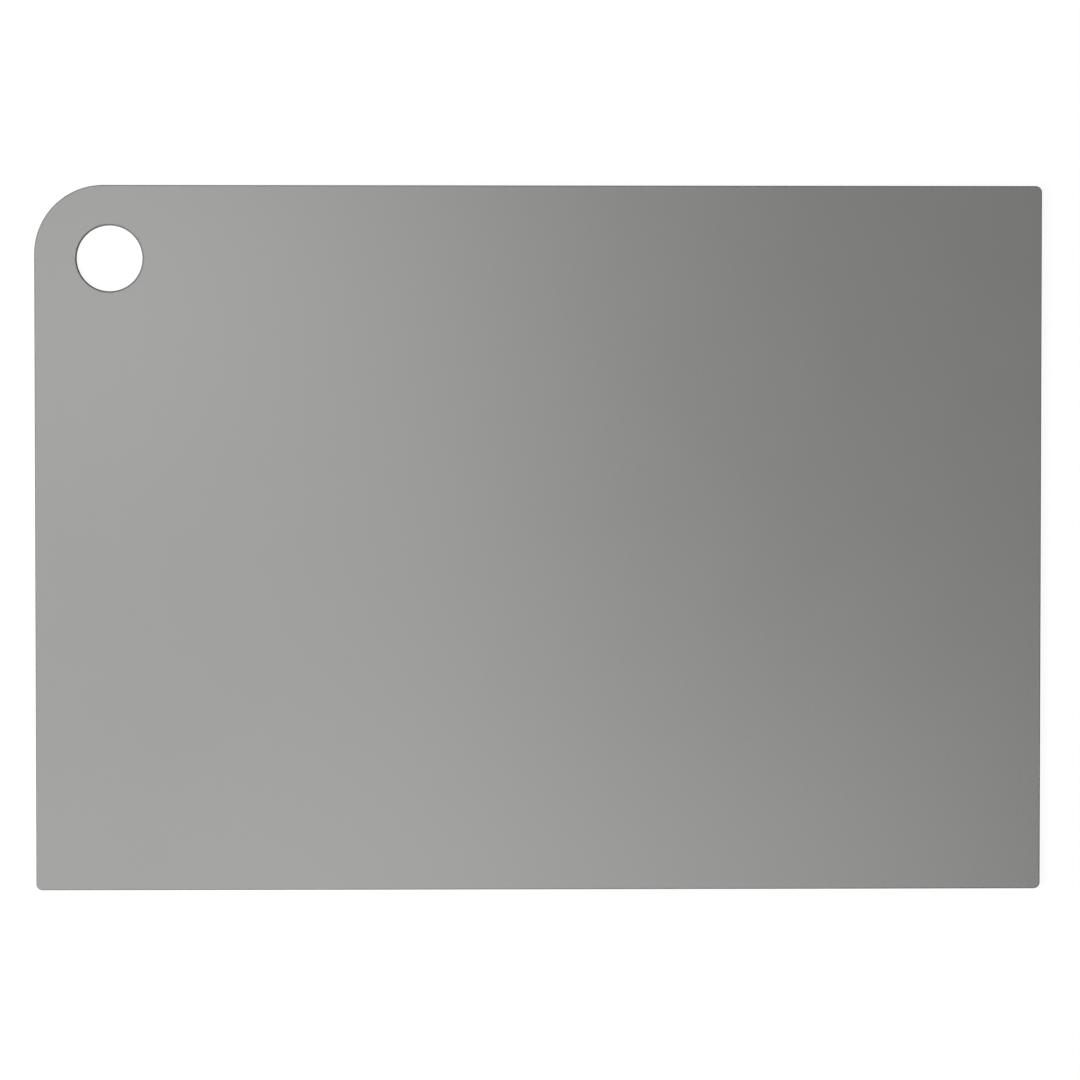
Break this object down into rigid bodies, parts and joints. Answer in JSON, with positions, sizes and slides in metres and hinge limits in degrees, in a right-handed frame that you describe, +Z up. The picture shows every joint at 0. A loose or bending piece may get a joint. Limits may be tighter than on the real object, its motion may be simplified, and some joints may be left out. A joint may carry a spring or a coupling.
{
  "type": "flexible cutting mat",
  "caption": "Thin flexible cutting mat with a hanging hole; its long sides curl up into a trough that tips food into a pan.",
  "frame": {"origin": "middle of the underside, on the surface that the mat lies on", "axes": "+X along the long sides with the hanging hole at -X, +Y from the front edge to the back edge, where the hole is, and +Z up out of the cutting face"},
  "size_m": [0.4, 0.28, 0.0015],
  "materials": {
    "mat": "satin grey soft polyurethane with a fine even grain"
  },
  "bodies": {
    "centre_strip": {"centre_strip": "mat"},
    "front_strip_1": {"front_strip_1": "mat"},
    "front_strip_2": {"front_strip_2": "mat"},
    "front_strip_3": {"front_strip_3": "mat"},
    "front_strip_4": {"front_strip_4": "mat"},
    "front_strip_5": {"front_strip_5": "mat"},
    "front_strip_6": {"front_strip_6": "mat"},
    "front_strip_7": {"front_strip_7": "mat"},
    "front_edge": {"front_edge": "mat"},
    "back_strip_1": {"back_strip_1": "mat"},
    "back_strip_2": {"back_strip_2": "mat"},
    "back_strip_3": {"back_strip_3": "mat"},
    "back_strip_4": {"back_strip_4": "mat"},
    "back_strip_5": {"back_strip_5": "mat"},
    "back_strip_6": {"back_strip_6": "mat"},
    "back_strip_7": {"back_strip_7": "mat"},
    "back_edge": {"back_edge": "mat"}
  },
  "joints": [
    {"name": "front_bend_1", "type": "hinge", "parent": "centre_strip", "child": "front_strip_1", "pos_m": [0, -0.006, 0.0015], "axis": [-1, 0, 0], "range_deg": [0, 11.25], "stiffness_Nm_per_rad": 2.35},
    {"name": "front_bend_2", "type": "hinge", "parent": "front_strip_1", "child": "front_strip_2", "pos_m": [0, -0.018, 0.0015], "axis": [-1, 0, 0], "range_deg": [0, 11.25], "stiffness_Nm_per_rad": 2.35},
    {"name": "front_bend_3", "type": "hinge", "parent": "front_strip_2", "child": "front_strip_3", "pos_m": [0, -0.03, 0.0015], "axis": [-1, 0, 0], "range_deg": [0, 11.25], "stiffness_Nm_per_rad": 2.35},
    {"name": "front_bend_4", "type": "hinge", "parent": "front_strip_3", "child": "front_strip_4", "pos_m": [0, -0.042, 0.0015], "axis": [-1, 0, 0], "range_deg": [0, 11.25], "stiffness_Nm_per_rad": 2.35},
    {"name": "front_bend_5", "type": "hinge", "parent": "front_strip_4", "child": "front_strip_5", "pos_m": [0, -0.054, 0.0015], "axis": [-1, 0, 0], "range_deg": [0, 11.25], "stiffness_Nm_per_rad": 2.35},
    {"name": "front_bend_6", "type": "hinge", "parent": "front_strip_5", "child": "front_strip_6", "pos_m": [0, -0.066, 0.0015], "axis": [-1, 0, 0], "range_deg": [0, 11.25], "stiffness_Nm_per_rad": 2.35},
    {"name": "front_bend_7", "type": "hinge", "parent": "front_strip_6", "child": "front_strip_7", "pos_m": [0, -0.078, 0.0015], "axis": [-1, 0, 0], "range_deg": [0, 11.25], "stiffness_Nm_per_rad": 2.35},
    {"name": "front_bend_8", "type": "hinge", "parent": "front_strip_7", "child": "front_edge", "pos_m": [0, -0.09, 0.0015], "axis": [-1, 0, 0], "range_deg": [0, 11.25], "stiffness_Nm_per_rad": 2.35},
    {"name": "back_bend_1", "type": "hinge", "parent": "centre_strip", "child": "back_strip_1", "pos_m": [0, 0.006, 0.0015], "axis": [1, 0, 0], "range_deg": [0, 11.25], "stiffness_Nm_per_rad": 2.35},
    {"name": "back_bend_2", "type": "hinge", "parent": "back_strip_1", "child": "back_strip_2", "pos_m": [0, 0.018, 0.0015], "axis": [1, 0, 0], "range_deg": [0, 11.25], "stiffness_Nm_per_rad": 2.35},
    {"name": "back_bend_3", "type": "hinge", "parent": "back_strip_2", "child": "back_strip_3", "pos_m": [0, 0.03, 0.0015], "axis": [1, 0, 0], "range_deg": [0, 11.25], "stiffness_Nm_per_rad": 2.35},
    {"name": "back_bend_4", "type": "hinge", "parent": "back_strip_3", "child": "back_strip_4", "pos_m": [0, 0.042, 0.0015], "axis": [1, 0, 0], "range_deg": [0, 11.25], "stiffness_Nm_per_rad": 2.35},
    {"name": "back_bend_5", "type": "hinge", "parent": "back_strip_4", "child": "back_strip_5", "pos_m": [0, 0.054, 0.0015], "axis": [1, 0, 0], "range_deg": [0, 11.25], "stiffness_Nm_per_rad": 2.35},
    {"name": "back_bend_6", "type": "hinge", "parent": "back_strip_5", "child": "back_strip_6", "pos_m": [0, 0.066, 0.0015], "axis": [1, 0, 0], "range_deg": [0, 11.25], "stiffness_Nm_per_rad": 2.35},
    {"name": "back_bend_7", "type": "hinge", "parent": "back_strip_6", "child": "back_strip_7", "pos_m": [0, 0.078, 0.0015], "axis": [1, 0, 0], "range_deg": [0, 11.25], "stiffness_Nm_per_rad": 2.35},
    {"name": "back_bend_8", "type": "hinge", "parent": "back_strip_7", "child": "back_edge", "pos_m": [0, 0.09, 0.0015], "axis": [1, 0, 0], "range_deg": [0, 11.25], "stiffness_Nm_per_rad": 2.35}
  ],
  "couplings": [
    {"joint": "front_bend_2", "follows": "front_bend_1", "ratio": 1},
    {"joint": "front_bend_3", "follows": "front_bend_1", "ratio": 1},
    {"joint": "front_bend_4", "follows": "front_bend_1", "ratio": 1},
    {"joint": "front_bend_5", "follows": "front_bend_1", "ratio": 1},
    {"joint": "front_bend_6", "follows": "front_bend_1", "ratio": 1},
    {"joint": "front_bend_7", "follows": "front_bend_1", "ratio": 1},
    {"joint": "front_bend_8", "follows": "front_bend_1", "ratio": 1},
    {"joint": "back_bend_2", "follows": "back_bend_1", "ratio": 1},
    {"joint": "back_bend_3", "follows": "back_bend_1", "ratio": 1},
    {"joint": "back_bend_4", "follows": "back_bend_1", "ratio": 1},
    {"joint": "back_bend_5", "follows": "back_bend_1", "ratio": 1},
    {"joint": "back_bend_6", "follows": "back_bend_1", "ratio": 1},
    {"joint": "back_bend_7", "follows": "back_bend_1", "ratio": 1},
    {"joint": "back_bend_8", "follows": "back_bend_1", "ratio": 1}
  ]
}
